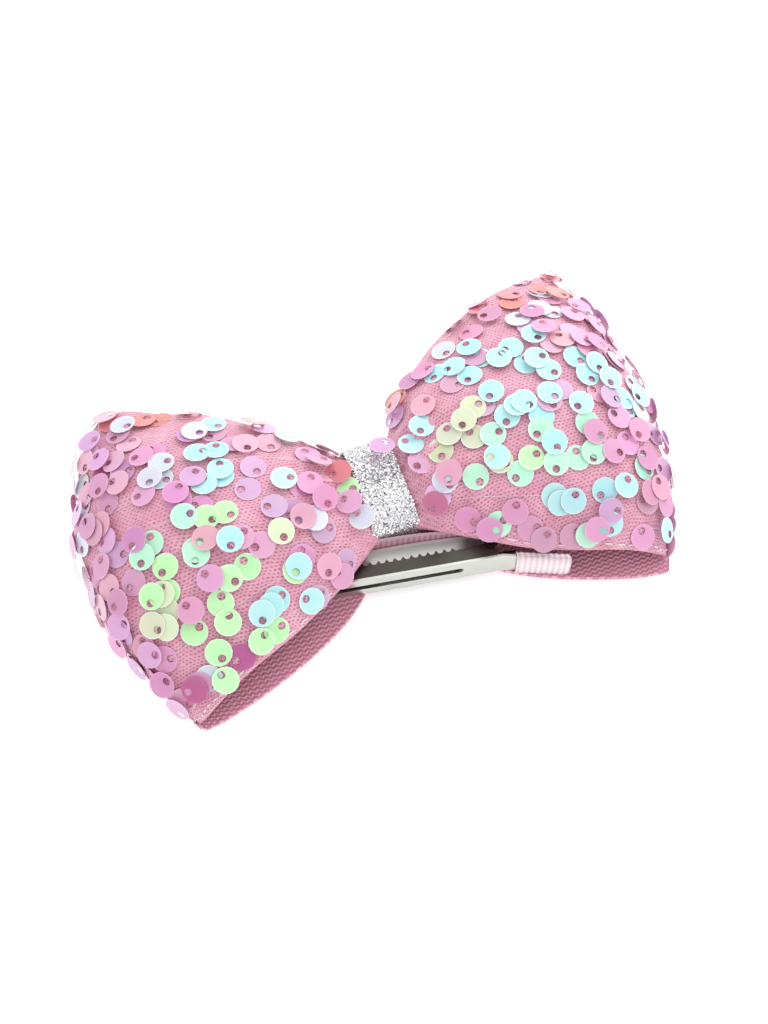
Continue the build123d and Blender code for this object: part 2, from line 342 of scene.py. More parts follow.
def makeGlitter():
    # flakes in a clear binder: each cell has its own grey and its own lean
    material, n, shader = newMaterial("silverGlitter")
    place = n.add("ShaderNodeTexCoord")
    cells = n.add("ShaderNodeTexVoronoi", Vector=(place, "Object"), Scale=glitter["cells"])
    grey = n.add("ShaderNodeSeparateColor", i0=(cells, 1))
    colour = n.ramp((grey, 0), glitter["greys"])
    geometry = n.add("ShaderNodeNewGeometry")
    lean = n.add("ShaderNodeVectorMath", {"operation": "MULTIPLY_ADD"}, i0=(cells, 1),
                 i1=(glitter["lean"],) * 3, i2=(-glitter["lean"] / 2,) * 3)
    tilted = n.add("ShaderNodeVectorMath", {"operation": "ADD"}, i0=(geometry, "Normal"), i1=(lean, 0))
    turned = n.add("ShaderNodeVectorMath", {"operation": "NORMALIZE"}, i0=(tilted, 0))
    n.put(shader, "Base Color", colour)
    n.put(shader, "Roughness", n.math("MULTIPLY_ADD", (grey, 1), 0.25, 0.18))
    shader.inputs["Metallic"].default_value = 0.55
    n.put(shader, "Normal", (turned, 0))
    return material


def makeGrosgrain(name, light, dark, selvage=None):
    # cross ribs are in the mesh; this adds the fine warp yarns over them, and a pale satin edge
    material, n, shader = newMaterial(name)
    cloth = n.add("ShaderNodeUVMap", {"uv_map": "cloth"})
    rows = useGroup(n, yarnRows, Vector=(cloth, 0), Rows=0.32, Zig=0.0, Zig_Pitch=1.0)
    parts = n.add("ShaderNodeSeparateXYZ", i0=(cloth, 0))
    ripple = n.math("COSINE", n.math("MULTIPLY", (parts, 0), 2 * math.pi / clip["ribPitch"]))
    rib = n.math("MULTIPLY_ADD", ripple, 0.5, 0.5)
    share = n.math("MULTIPLY_ADD", rib, 0.7, n.math("MULTIPLY", (rows, 1), 0.3))
    woven = n.mix(share, dark, light)
    if selvage:
        edge = n.math("MULTIPLY_ADD", (parts, 1), 1.2, -1.2 * selvage["from"], clamp=True)
        woven = n.mix(n.math("MULTIPLY", edge, 0.85), woven, selvage["colour"])
        n.put(shader, "Roughness", n.math("MULTIPLY_ADD", edge, -0.22, 0.5))
    else:
        shader.inputs["Roughness"].default_value = 0.5
    n.put(shader, "Base Color", woven)
    shader.inputs["Sheen Weight"].default_value = 0.25
    n.put(shader, "Normal", n.bump((rows, 0), 0.00006))
    return material


def makeSteel(name, colour, dull, roughness, wallShade=None):
    # plated steel: cloudy tarnish, fine scratches along the strip; the wall colour is painted shade on the
    # sawn side walls
    material, n, shader = newMaterial(name)
    place = n.add("ShaderNodeTexCoord")
    cloud = n.add("ShaderNodeTexNoise", Vector=(place, "Object"), Scale=220.0, Detail=4.0)
    stretch = n.add("ShaderNodeMapping", Vector=(place, "Object"), Rotation=(0, 0, math.radians(9)),
                    Scale=(160.0, 2600.0, 2600.0))
    scratch = n.add("ShaderNodeTexNoise", Vector=(stretch, 0), Scale=1.0, Detail=2.0)
    plated = n.mix(n.math("MULTIPLY", (cloud, 0), 0.8, clamp=True), colour, dull)
    if wallShade:
        # painted shade: faces turned along Z, inward of this depth, take the dark wall colour
        facing = n.add("ShaderNodeSeparateXYZ", i0=(place, "Normal"))
        sideways = n.math("GREATER_THAN", n.math("ABSOLUTE", (facing, 2)), 0.6)
        depth = n.add("ShaderNodeVectorMath", {"operation": "DOT_PRODUCT"}, i0=(place, "Object"),
                      i1=(-math.sin(turn), math.cos(turn), 0.0))
        inside = n.math("GREATER_THAN", (depth, "Value"), clipDepth + (clip["web"] + clip["wallShadeStart"]) * mm)
        plated = n.mix(n.math("MULTIPLY", sideways, inside), plated, wallShade)
    n.put(shader, "Base Color", plated)
    n.put(shader, "Roughness", n.math("MULTIPLY_ADD", (scratch, 0), 0.22, roughness))
    shader.inputs["Metallic"].default_value = 1.0
    n.put(shader, "Normal", n.bump((scratch, 0), 0.00002, 0.5))
    return material


def makeClear(name, colour, alpha, roughness):
    # clear thread and glue: a faint milky body with a wet gloss
    material, n, shader = newMaterial(name)
    place = n.add("ShaderNodeTexCoord")
    cloud = n.add("ShaderNodeTexNoise", Vector=(place, "Object"), Scale=500.0, Detail=2.0)
    n.put(shader, "Base Color", n.mix(n.math("MULTIPLY", (cloud, 0), 0.5), colour, (1.0, 1.0, 1.0)))
    shader.inputs["Alpha"].default_value = alpha
    shader.inputs["Roughness"].default_value = roughness
    shader.inputs["Coat Weight"].default_value = 0.6
    return material


def makeThread():
    material, n, shader = newMaterial("pinkThread")
    place = n.add("ShaderNodeTexCoord")
    twist = n.add("ShaderNodeTexWave", Vector=(place, "Object"), Scale=900.0, Distortion=1.0)
    n.put(shader, "Base Color", n.mix((twist, 1), (0.80, 0.42, 0.54), (0.95, 0.72, 0.80)))
    shader.inputs["Roughness"].default_value = 0.6
    n.put(shader, "Normal", n.bump((twist, 1), 0.0001))
    return material


sequinKnit = makeKnit()
backTricot = makeTricot("chevronTricot", tricot["light"], tricot["dark"])
sequinFilm = makeSequin()
silverGlitter = makeGlitter()
leverGrosgrain = makeGrosgrain("paleGrosgrain", (0.93, 0.80, 0.84), (0.66, 0.50, 0.55))
jawGrosgrain = makeGrosgrain("pinkGrosgrain", (0.70, 0.33, 0.43), (0.38, 0.12, 0.19),
                             selvage={"from": 8.6, "colour": (0.66, 0.46, 0.55)})   # mm up the ribbon
# the free jaw's dark wall colour is painted shade
clipSteel = makeSteel("platedSteel", (0.66, 0.68, 0.64), (0.44, 0.46, 0.42), 0.2, wallShade=(0.075, 0.068, 0.062))
# the fixed jaw's near-white steel is a painted highlight
highlightFixedSteel = makeSteel("paintedHighlightSteel", (0.97, 0.97, 0.96), (0.86, 0.86, 0.85), 0.32)
# the spring's near-black steel is partly dark spring steel and partly painted shade in the hinge
darkSteelAndHingeShade = makeSteel("springSteel", (0.07, 0.06, 0.06), (0.03, 0.03, 0.03), 0.3)
clearThread = makeClear("clearThread", (0.97, 0.90, 0.94), 0.75, 0.12)
glueFilm = makeClear("clearGlue", (0.93, 0.80, 0.84), 0.55, 0.2)
pinkThread = makeThread()
print("stage: materials")

for node, material in {
    "clip_free_jaw": clipSteel, "clip_fixed_jaw": highlightFixedSteel,
    "pivot_pin": darkSteelAndHingeShade, "torsion_spring": darkSteelAndHingeShade,
    "gather_thread": pinkThread, "glue_pad": glueFilm,
}.items():
    mesh = frame["nodes"][node].data
    mesh.materials.clear()
    mesh.materials.append(material)

# Loops
# Stations run from under the band, over the crest, round the outer fold to the back panel.
loop = {
    "x":     [2.0, 5.2, 8.2, 14.0, 24.0, 36.0, 47.0, 55.0, 59.0, 59.2, 57.0],
    "crest": [14.4, 15.7, 17.4, 19.4, 21.2, 21.6, 19.6, 15.2, 9.4, 4.4, 2.0],
    "crown": 2.3,            # how square the cross-section's shoulders are
    "curl": 0.06,            # share of the width that turns under at each edge
    "curlDrop": 1.6, "hemIn": 0.9, "hemOut": 0.35,
    "pleats": 6.5, "pleatDepth": 0.9, "pleatEnd": 0.46, "pleatShift": 0.35,
    "pleatFrom": 3.5, "pleatGrow": 4.5,   # mm from the middle where the pleats start, and grow over
    "soft": 0.5,             # depth of the slow waves
    "lowest": 1.75,          # the cloth rests on the back panel here
    "cloth": 1.0,            # thickness
    "flat": (0.078, 0.070),  # as cut, before it was gathered
    "rows": 170, "columns": 140,
}
# Each loop's own outline: y of its near and far edges and of its back panel's near edge, the heights
# of the two edges, and how far its corners fall short
loopSides = {
    -1: {
        "near":  [-11.2, -13.0, -15.2, -19.0, -24.0, -28.2, -31.6, -33.2, -33.3, -32.8, -31.5],
        "backNear": [-10.5, -13.5, -17.4, -22.3, -27.4, -31.3, -33.6, -34.4, -34.4],
        "far":   [6.4, 7.4, 10.0, 15.6, 22.6, 28.6, 33.2, 35.2, 35.2, 34.4, 33.0],
        "nearZ": [11.6, 12.2, 12.4, 11.8, 11.2, 10.4, 8.8, 6.8, 4.6, 2.7, 1.9],
        "farZ":  [11.6, 12.4, 12.8, 13.2, 13.6, 13.0, 11.2, 8.6, 5.6, 3.2, 1.9],
        "nearShort": 0.20, "farShort": 0.15,
    },
    1: {
        "near":  [-11.4, -12.9, -14.6, -17.9, -23.4, -26.8, -29.3, -31.0, -31.4, -30.8, -29.6],
        "backNear": [-10.5, -13.0, -14.8, -19.4, -25.6, -30.2, -33.0, -34.0, -34.2],
        "far":   [6.8, 8.4, 13.2, 19.6, 27.0, 32.4, 36.2, 37.4, 37.2, 36.4, 35.0],
        "nearZ": [11.6, 12.2, 12.4, 11.8, 11.2, 10.2, 8.4, 6.4, 4.4, 2.7, 1.9],
        "farZ":  [11.6, 12.4, 12.8, 13.2, 13.6, 13.0, 11.2, 8.6, 5.6, 3.2, 1.9],
        "nearShort": 0.15, "farShort": 0.08,
    },
}


def loopPoint(side, s, t, c=loop):
    # across the loop the height falls from crest to edge as a power of t; past |t| = 1 the hem
    # turns down and in; pleats are waves in t that fade out along s, and slow waves make it soft
    own = loopSides[side]
    x = throughStations(c["x"], s)
    near, far = throughStations(own["near"], s), throughStations(own["far"], s)
    nearZ, farZ = throughStations(own["nearZ"], s), throughStations(own["farZ"], s)
    crest = throughStations(c["crest"], s)
    inner = np.clip(t, -1, 1)
    over = np.abs(t) - np.abs(inner)
    share = 0.5 + 0.5 * inner
    edge = nearZ + (farZ - nearZ) * share
    y = near + (far - near) * share
    z = edge + (crest - edge) * (1 - np.abs(inner) ** c["crown"])
    fade = np.clip(1 - s / c["pleatEnd"], 0, 1) ** 1.3 * np.clip((x - c["pleatFrom"]) / c["pleatGrow"], 0, 1)
    phase = 1.3 * side
    place = c["pleats"] * math.pi * inner + phase + 1.2 * np.sin(3 * inner + side) + 0.5 * s
    fold = np.sin(place)
    fold = np.sign(fold) * np.abs(fold) ** 0.8
    z = z + c["pleatDepth"] * fade * fold * (1 - 0.5 * np.abs(inner) ** 4)
    y = y + c["pleatShift"] * fade * np.cos(place)
    soft = np.sin(0.21 * x + 0.9 * side) * np.cos(0.17 * y + 1.1 * side)
    soft = soft + 0.6 * np.sin(0.37 * y + 0.19 * x + side)
    body = np.clip(s * 3 - 0.4, 0, 1) * np.clip((1 - s) * 5, 0, 1)
    z = z + c["soft"] * soft * body
    short = np.where(inner < 0, own["nearShort"], own["farShort"]) * inner**2
    x = x * (1 - short * (x / c["x"][-2]) ** 2)
    x = x + 0.5 * np.sin(0.33 * y + side) * np.clip((s - 0.5) * 4, 0, 1)
    bend = np.clip(over / c["curl"], 0, 1) * math.pi / 2
    z = z - c["curlDrop"] * np.sin(bend)
    y = y - np.sign(t) * (c["hemIn"] * (1 - np.cos(bend)) - c["hemOut"] * np.sin(2 * bend))
    z = np.maximum(z, c["lowest"])
    return np.stack([side * x, y, z], -1) * mm


def clothMap(points):
    # cloth coordinates in mm: lengths summed along the rows and across the columns
    along = np.linalg.norm(np.diff(points, axis=0), axis=-1).mean(1)
    u = np.concatenate([[0], np.cumsum(along)]) / mm
    across = np.linalg.norm(np.diff(points, axis=1), axis=-1)
    v = np.concatenate([np.zeros((len(points), 1)), np.cumsum(across, 1)], 1) / mm
    v = v - v.mean(1, keepdims=True)
    return np.stack([np.broadcast_to(u[:, None], v.shape), v], -1)


def makeLoop(name, side, nodes):
    c = loop
    reach = 1 + c["curl"]
    s, t = np.meshgrid(np.linspace(0, 1, c["rows"]), np.linspace(-reach, reach, c["columns"]), indexing="ij")
    points = loopPoint(side, s, t)
    faces = gridFaces(c["rows"], c["columns"])
    if side > 0:
        faces = faces[:, ::-1]
    obj = addPiece(name, points, faces, [sequinKnit, backTricot], uv=clothMap(points))
    solidify(obj, c["cloth"] * mm, -1.0, lining=1)
    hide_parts(*nodes)


makeLoop("leftFrontCloth", -1, ["left_front_panel"])
makeLoop("rightFrontCloth", 1, ["right_front_panel"])
print("stage: loops")

# Back panels
back = {
    "x": [2.5, 5.2, 8.2, 14.0, 24.0, 36.0, 47.0, 55.0, 58.6],
    "inset": 0.3,             # inside the front cloth's far outline
    "top": 1.45, "cloth": 1.1,
    "waves": 5.0, "waveDepth": 0.35,
    "flat": (0.072, 0.060), "area": 0.0032,   # the cut is a trapezium
    "rows": 110, "columns": 110,
}


def makeBack(name, side, nodes):
    # a flat panel between its near and far outlines; the rims round over, shallow gathers fade outwards
    c = back
    s, t = np.meshgrid(np.linspace(0, 1, c["rows"]), np.linspace(-1, 1, c["columns"]), indexing="ij")
    own = loopSides[side]
    x = throughStations(c["x"], s)
    stations = len(c["x"])
    near, far = throughStations(own["backNear"], s), throughStations(own["far"][:stations], s) - c["inset"]
    y = near + (far - near) * (0.5 + 0.5 * t)
    short = np.where(t < 0, own["nearShort"], own["farShort"]) * t**2
    x = x * (1 - short * (x / loop["x"][-2]) ** 2)
    gather = np.clip(1 - s / 0.35, 0, 1) ** 1.5
    z = c["top"] + c["waveDepth"] * gather * np.sin(c["waves"] * math.pi * t + side)
    z = z + 0.12 * np.sin(0.3 * x) * np.cos(0.26 * y) * np.clip(s * 3, 0, 1) - 0.1
    points = np.stack([side * x, y, z], -1) * mm
    faces = gridFaces(c["rows"], c["columns"])
    if side < 0:
        faces = faces[:, ::-1]
    obj = addPiece(name, points, faces, [backTricot], uv=clothMap(points))
    solidify(obj, c["cloth"] * mm, -1.0)
    rim = obj.modifiers.new("roundRim", "BEVEL")
    rim.width, rim.segments, rim.limit_method, rim.angle_limit = 0.45 * mm, 3, "ANGLE", math.radians(50)
    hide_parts(*nodes)
    return obj


makeBack("leftBackCloth", -1, ["left_back_panel"])
makeBack("rightBackCloth", 1, ["right_back_panel"])
print("stage: back panels")

# Gathered centre
centre = {
    "y": -1.9, "z": 8.4, "halfY": 9.7, "halfZ": 7.0, "round": 3.2,   # rounded section of the pinch
    "halfLength": 7.6, "pleats": 13, "depth": 0.45,
    "waist": 0.35, "flare": 0.3, "closeFrom": 0.9, "closeBy": 0.75,   # narrow at mid length and at the ends
    "lowest": 1.2, "girth": 52, "rows": 36, "columns": 160,
}


def roundedRing(angle, halfY, halfZ, power):
    # a superellipse: cosine and sine raised to 2 / power keep their signs
    a, b = np.cos(angle), np.sin(angle)
    y = halfY * np.sign(a) * np.abs(a) ** (2 / power)
    z = halfZ * np.sign(b) * np.abs(b) ** (2 / power)
    return y, z


def makeGather():
    # the pinch's section carried along X, waisted under the band, with pleats that run lengthwise
    c = centre
    s, angle = tubeGrid(-1, c["rows"], c["columns"])
    pleat = np.sin(c["pleats"] * angle + 1.5 * np.sin(2 * angle))
    grow = -c["waist"] * (1 - s**2) + c["flare"] * s**4
    close = np.clip((np.abs(s) - c["closeFrom"]) / (1 - c["closeFrom"]), 0, 1)
    scale = 1 - c["closeBy"] * close**2
    halfY = (c["halfY"] + grow + c["depth"] * pleat * (0.35 + 0.65 * s**2)) * scale
    halfZ = (c["halfZ"] + grow + c["depth"] * pleat * (0.35 + 0.65 * s**2)) * scale
    y, z = roundedRing(angle, halfY, halfZ, c["round"])
    points = np.stack([s * c["halfLength"], c["y"] + y, np.maximum(c["z"] + z, c["lowest"])], -1) * mm
    v = np.broadcast_to(angle / (2 * math.pi) * c["girth"], s.shape)
    uv = np.stack([s * c["halfLength"], v], -1)
    faces = gridFaces(c["rows"], c["columns"], wrap=True)
    obj = addPiece("gatheredCentre", points, faces, [backTricot], uv=uv)
    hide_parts("centre_gather")


makeGather()

# Glitter band
band = {
    "halfWidth": 5.0, "pinchIn": 0.35,  # the edges bow inwards a little at front and back
    "grow": 0.78, "thickness": 0.5, "round": 3.4,
    "flakes": 5200, "flake": 0.17, "flakeLean": 0.42, "flakeLift": 0.05, "seed": 11,
    "rows": 40, "columns": 200, "wrap": 9,
    "flat": (0.010, 0.056),
}


def bandPoint(s, angle):
    # the centre's section grown outwards, narrowed at front and back, with soft creases across
    c = band
    wave = 0.12 * np.sin(3 * angle + 1.0) + 0.10 * np.sin(7 * angle + 2.5 * s)
    grow = c["grow"] + wave * 0.6 - 0.12 * s**2
    y, z = roundedRing(angle, centre["halfY"] + grow, centre["halfZ"] + grow, c["round"])
    x = s * (c["halfWidth"] - c["pinchIn"] * np.abs(np.sin(angle))) + 0.15 * np.sin(2 * angle)
    return np.stack([x, centre["y"] + y, centre["z"] + z], -1) * mm


def makeBand():
    s, angle = tubeGrid(-1, band["rows"], band["columns"])
    points = bandPoint(s, angle)
    uv = np.stack([s * band["halfWidth"], angle * band["wrap"]], -1)
    faces = gridFaces(band["rows"], band["columns"], wrap=True)
    obj = addPiece("glitterBandCloth", points, faces, [silverGlitter], uv=uv)
    solidify(obj, band["thickness"] * mm, -1.0)
    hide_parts("glitter_band")


def surfaceFrames(pointAt, a, b, step=1e-3):
    # the point, the two unit tangents and the unit normal of a surface at parameters a and b
    p = pointAt(a, b)
    da = unit(pointAt(a + step, b) - pointAt(a - step, b))
    db = pointAt(a, b + step) - pointAt(a, b - step)
    normal = unit(np.cross(da, db))
    return p, da, np.cross(normal, da), normal


def outward(normal, p, middle):
    # flips normals that point towards a middle point
    side = np.sign(((p - middle) * normal).sum(-1, keepdims=True))
    return normal * np.where(side == 0, 1, side)


def makeFlakes():
    # loose hexagonal flakes on the band, each leaning its own way
    c = band
    draw = np.random.default_rng(c["seed"])
    s = draw.uniform(-0.99, 0.99, c["flakes"])
    angle = draw.uniform(0, 2 * math.pi, c["flakes"])
    p, along, across, normal = surfaceFrames(bandPoint, s, angle)
    normal = outward(normal, p, np.array([0, centre["y"], centre["z"]]) * mm)
    normal = unit(normal + c["flakeLean"] * draw.normal(0, 0.6, normal.shape))
    across = unit(np.cross(normal, along))
    along = np.cross(across, normal)
    corner = np.arange(6) * math.pi / 3
    size = c["flake"] * mm * draw.uniform(0.7, 1.25, c["flakes"])[:, None, None]
    ring = np.cos(corner)[None, :, None] * along[:, None] + np.sin(corner)[None, :, None] * across[:, None]
    points = p[:, None] + c["flakeLift"] * mm * normal[:, None] + size * ring
    faces = np.arange(c["flakes"] * 6).reshape(-1, 6)
    obj = addPiece("glitterFlakes", points, faces, [flakeFoil], flat=True)


def makeFoil():
    material, n, shader = newMaterial("flakeFoil")
    place = n.add("ShaderNodeTexCoord")
    cells = n.add("ShaderNodeTexVoronoi", Vector=(place, "Object"), Scale=3000.0)
    grey = n.add("ShaderNodeSeparateColor", i0=(cells, 1))
    n.put(shader, "Base Color", n.ramp((grey, 0), [(0.0, (0.55, 0.55, 0.57)), (0.6, (1.0, 1.0, 1.0))]))
    n.put(shader, "Roughness", n.math("MULTIPLY_ADD", (grey, 1), 0.2, 0.12))
    shader.inputs["Metallic"].default_value = 0.7
    return material


flakeFoil = makeFoil()
makeBand()
makeFlakes()
print("stage: centre and band")

# Clip ribbons
def clipPoint(x, y, z):
    # from the clip's own axes (x towards the lever, y towards the bow) to the row frame
    gx = clip["pivot"][0] + (x * math.cos(turn) - y * math.sin(turn)) * mm
    gy = clip["pivot"][1] + (x * math.sin(turn) + y * math.cos(turn)) * mm
    return np.stack([gx, gy, clip["pivot"][2] + z * mm], -1)


sleeve = {
    "start": 4.4, "end": 15.1, "webFace": clip["web"], "slope": 0.24, "bend": 2.0, "sheet": clip["sheet"],
    "grow": 0.5, "ribPitch": clip["ribPitch"], "ribDepth": 0.09, "halfWidth": clip["halfWidth"],
    "square": 4.5, "closeFrom": 0.9, "wrap": 2.6,         # squareness of the section, start of its round end
    "rows": 120, "columns": 72,
    "flat": (0.0165, 0.0108),
}


def makeSleeve():
    # a flat rounded tube round the lever; ribs swell it at each pitch, and its end rounds off shut
    c = sleeve
    s, angle = tubeGrid(0, c["rows"], c["columns"])
    x = c["start"] + (c["end"] - c["start"]) * s
    rib = 0.5 + 0.5 * np.cos(2 * math.pi * x / c["ribPitch"])
    last = np.clip((s - c["closeFrom"]) / (1 - c["closeFrom"]), 0, 1)
    shut = np.sqrt(np.maximum(1 - last**2, 0.0))
    grow = c["grow"] + c["ribDepth"] * rib
    thick = (c["sheet"] / 2 + grow) * (0.25 + 0.75 * shut)
    wide = (c["halfWidth"] + grow) * (0.62 + 0.38 * shut)
    ya, za = roundedRing(angle, thick, wide, c["square"])
    middle = c["webFace"] + c["sheet"] / 2 - c["slope"] * (x - c["bend"])
    points = clipPoint(x, middle + ya, za)
    uv = np.stack([x, angle * c["wrap"]], -1)
    faces = gridFaces(c["rows"], c["columns"], wrap=True)
    obj = addPiece("leverRibbonSleeve", points, faces, [leverGrosgrain], body="free_jaw", uv=uv)
    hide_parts("lever_ribbon")


jawStrip = {
    "from": -43.5, "to": -3.2, "mid": -22.0,
    "endY": 1.25, "midY": 2.85, "heelY": 2.25,         # the fixed jaw's outer face
    "profileZ": [-3.2, 0.0, 2.9, 3.7, 4.6, 5.6, 6.3],  # up the jaw, then leaning on the band
    "profileY": [0.04, 0.04, 0.04, 0.02, -0.06, -0.10, 0.05],
    "ribPitch": clip["ribPitch"], "ribDepth": 0.08, "thickness": 0.3,
    "rows": 320, "columns": 40, "width": 10.5,
    "flat": (0.0415, 0.0105),
}


def arcHeight(x, c=jawStrip):
    # a parabola through the jaw's two ends and its middle
    left = c["endY"] + (c["midY"] - c["endY"]) * (1 - ((x - c["mid"]) / (c["from"] - c["mid"])) ** 2)
    right = c["heelY"] + (c["midY"] - c["heelY"]) * (1 - ((x - c["mid"]) / (c["to"] - c["mid"])) ** 2)
    return np.where(x < c["mid"], left, right)


def makeJawRibbon():
    # a ribbed strip up the outer face of the arched jaw, its free edge turned up against the band
    c = jawStrip
    s, w = np.meshgrid(np.linspace(0, 1, c["rows"]), np.linspace(0, 1, c["columns"]), indexing="ij")
    x = c["from"] + (c["to"] - c["from"]) * s
    rise = throughStations(c["profileZ"], w)
    reach = 1 - 0.75 * np.abs(2 * s - 1) ** 3
    z = np.where(rise > 2.9, 2.9 + (rise - 2.9) * reach, rise)
    lean = throughStations(c["profileY"], w)
    rib = c["ribDepth"] * (0.5 + 0.5 * np.cos(2 * math.pi * x / c["ribPitch"]))
    y = arcHeight(x) + lean + 0.36 - rib * 0.9
    points = clipPoint(x, y, z)
    uv = np.stack([x, w * c["width"]], -1)
    obj = addPiece("jawRibbonStrip", points, gridFaces(c["rows"], c["columns"]), [jawGrosgrain], uv=uv)
    solidify(obj, c["thickness"] * mm, 0.0)
    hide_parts("jaw_ribbon")


makeSleeve()
makeJawRibbon()
print("stage: ribbons")

# Sequins
sequin = {
    "radius": 2.62, "hole": 0.78, "offset": 1.3, "thickness": 0.09, "rim": 0.26,
    "segments": 16, "spacing": 3.75, "jitter": 1.05, "missing": 0.10,
    "from": 0.165, "to": 0.90, "length": 60.0,      # stretch of the loop that is sewn, and its length in mm
    "lift": 0.20, "gap": 0.2, "riseLimit": 1.4,      # overlapping discs lie a gap apart, or are left out
    "floorGap": 0.3,                                # and none reaches lower than this
    "apart": 2.9, "nearEdge": -0.92,                # clear of a singly placed disc, and of the near hem
    "cup": 0.03, "cupLimit": 1.5,                   # how far a disc's rim bends, as a share of its radius
    "contact": 1.03, "nearby": 2.3, "facing": 0.2,  # a disc's reach in radii, its neighbours' in reaches
    "seed": 5, "stackReach": 2.1,
    "coralFrom": 12, "coralSlope": 0.32, "coralShare": 0.45,   # discs past this line may be coral
    "pull": 0.9, "fade": 1.1,                       # how strongly a cluster colours its discs
    "shadeLow": 0.88, "shadeHigh": 1.08, "tintSpread": 0.022,  # how far discs of one film differ
    "leanLow": 0.5, "leanHigh": 3.6, "roll": 1.3, "loose": 0.08, "looseLean": 16.0,
    "smoothing": 0.09,                              # share of the loop that a disc's slope is taken over
}
# Colour clusters on each loop: middle along X, middle along Y, radius (mm), film name
clusters = {
    -1: [(33, -14, 10, "green"), (24, -6, 6, "cream"), (40, -4, 8, "mint"), (30, 12, 7, "cyan"),
         (19, 4, 6, "mint"), (36, 20, 6, "white"), (14, 6, 5, "cream"), (26, -18, 6, "cyan"),
         (46, 8, 5, "white"), (22, -14, 5, "green"), (45, -12, 6, "green"), (35, -26, 6, "green"),
         (54, 19, 5, "white"), (50, -16, 5, "cream")],
    1: [(22, -9, 8, "mint"), (33, -3, 9, "cyan"), (28, 12, 8, "cyan"), (38, -12, 9, "mint"),
        (17, 2, 6, "cream"), (44, -20, 9, "cyan"), (40, 8, 9, "cyan"), (24, 22, 7, "white"),
        (49, 2, 8, "cyan"), (30, -19, 6, "cyan"), (45, 24, 6, "white"), (26, -12, 5, "green")],
}
# Each film: its colour, how pale its cut rim is painted as a highlight, and how opaque it is
films = {
    "pink": ((0.75, 0.33, 0.57), 0.14, 0.80), "lilac": ((0.70, 0.38, 0.66), 0.16, 0.80),
    # the magenta film is a darker copy of pink: painted shade
    "rose": ((0.79, 0.40, 0.56), 0.14, 0.78), "magenta": ((0.52, 0.08, 0.28), 0.06, 0.86),
    "coral": ((0.74, 0.22, 0.22), 0.10, 0.82), "green": ((0.44, 0.90, 0.36), 0.6, 0.94),
    "mint": ((0.42, 0.90, 0.62), 0.6, 0.94), "cyan": ((0.36, 0.82, 0.86), 0.6, 0.94),
    "cream": ((0.66, 0.74, 0.46), 0.6, 0.90), "white": ((0.60, 0.64, 0.78), 0.7, 0.90),
}
# Single discs sewn beside the band: side, x, y, z (mm), lean along x and y, film
strays = [
    (-1, -5.9, -3.0, 17.35, -0.10, 0.02, "green"), (-1, -6.9, -8.1, 17.0, -0.14, -0.06, "white"),
    (-1, -8.4, -4.9, 17.9, -0.20, 0.05, "pink"), (-1, -8.6, 1.2, 17.9, -0.18, 0.1, "coral"),
    (1, 7.4, -2.9, 18.0, 0.16, -0.02, "pink"), (1, 7.9, -9.6, 17.2, 0.16, -0.12, "lilac"),
    (1, 6.5, -12.0, 15.6, 0.2, -0.3, "magenta"), (1, 3.6, 4.6, 17.3, 0.10, 0.45, "lilac"),
    (1, 7.2, 3.2, 17.9, 0.2, 0.2, "cyan"), (1, 10.6, 3.8, 19.0, 0.1, 0.1, "cyan"),
]


def discTemplate():
    # rings of points: rim below, rim above, a lip just inside it, the hole above and the hole below
    c = sequin
    n = c["segments"]
    angle = np.arange(n) * 2 * math.pi / n
    circle = np.stack([np.cos(angle), np.sin(angle)], -1)
    hole = np.array([-c["offset"], 0.0])
    half = c["thickness"] / 2
    rings = [
        (c["radius"] * circle, -half), (c["radius"] * circle, half),
        ((c["radius"] - c["rim"]) * circle, half * 0.4), (hole + c["hole"] * circle, half * 0.6),
        (hole + c["hole"] * circle, -half),
    ]
    points = np.concatenate([np.column_stack([flat, np.full(n, z)]) for flat, z in rings])
    faces = []
    for a, b in ((0, 1), (1, 2), (2, 3), (3, 4), (4, 0)):
        i = np.arange(n)
        j = (i + 1) % n
        faces.append(np.stack([a * n + i, a * n + j, b * n + j, b * n + i], -1))
    # how much each ring takes of the rim's painted highlight and of its density
    rim = np.concatenate([np.ones(2 * n), np.full(n, 0.35), np.full(n, 0.2), np.full(n, 0.2)])
    return points, np.concatenate(faces), rim


def sequinSites(side, draw):
    # staggered rows over the loop in millimetres, shaken, with some left out
    c = sequin
    own = loopSides[side]
    rows = []
    count = int(c["length"] / c["spacing"])
    for i in range(count + 1):
        s = c["from"] + (c["to"] - c["from"]) * i / count
        width = throughStations(own["far"], np.array(s)) - throughStations(own["near"], np.array(s))
        across = max(int(width / c["spacing"]), 2)
        t = (np.arange(across + 1) + (0.5 if i % 2 else 0.0)) / across * 2 - 1
        t = t[t <= 1.0]
        rows.append(np.column_stack([np.full(len(t), s), t * 0.97]))
    sites = np.concatenate(rows)
    width = throughStations(own["far"], sites[:, 0]) - throughStations(own["near"], sites[:, 0])
    sites[:, 0] += draw.normal(0, c["jitter"] / c["length"] * 0.8, len(sites))
    sites[:, 1] += draw.normal(0, c["jitter"], len(sites)) / width * 2
    keep = draw.random(len(sites)) > c["missing"]
    sites = sites[keep]
    sites[:, 0] = np.clip(sites[:, 0], c["from"] - 0.02, c["to"] + 0.02)
    sites[:, 1] = np.clip(sites[:, 1], c["nearEdge"], 0.98)
    return sites


def stackLevels(p, reach):
    # each disc takes the lowest level that no earlier disc within reach has taken
    levels = np.zeros(len(p), int)
    for k in range(1, len(p)):
        near = np.linalg.norm(p[:k] - p[k], axis=1) < reach
        taken = set(levels[:k][near].tolist())
        levels[k] = min(level for level in range(len(p)) if level not in taken)
    return levels[:, None]


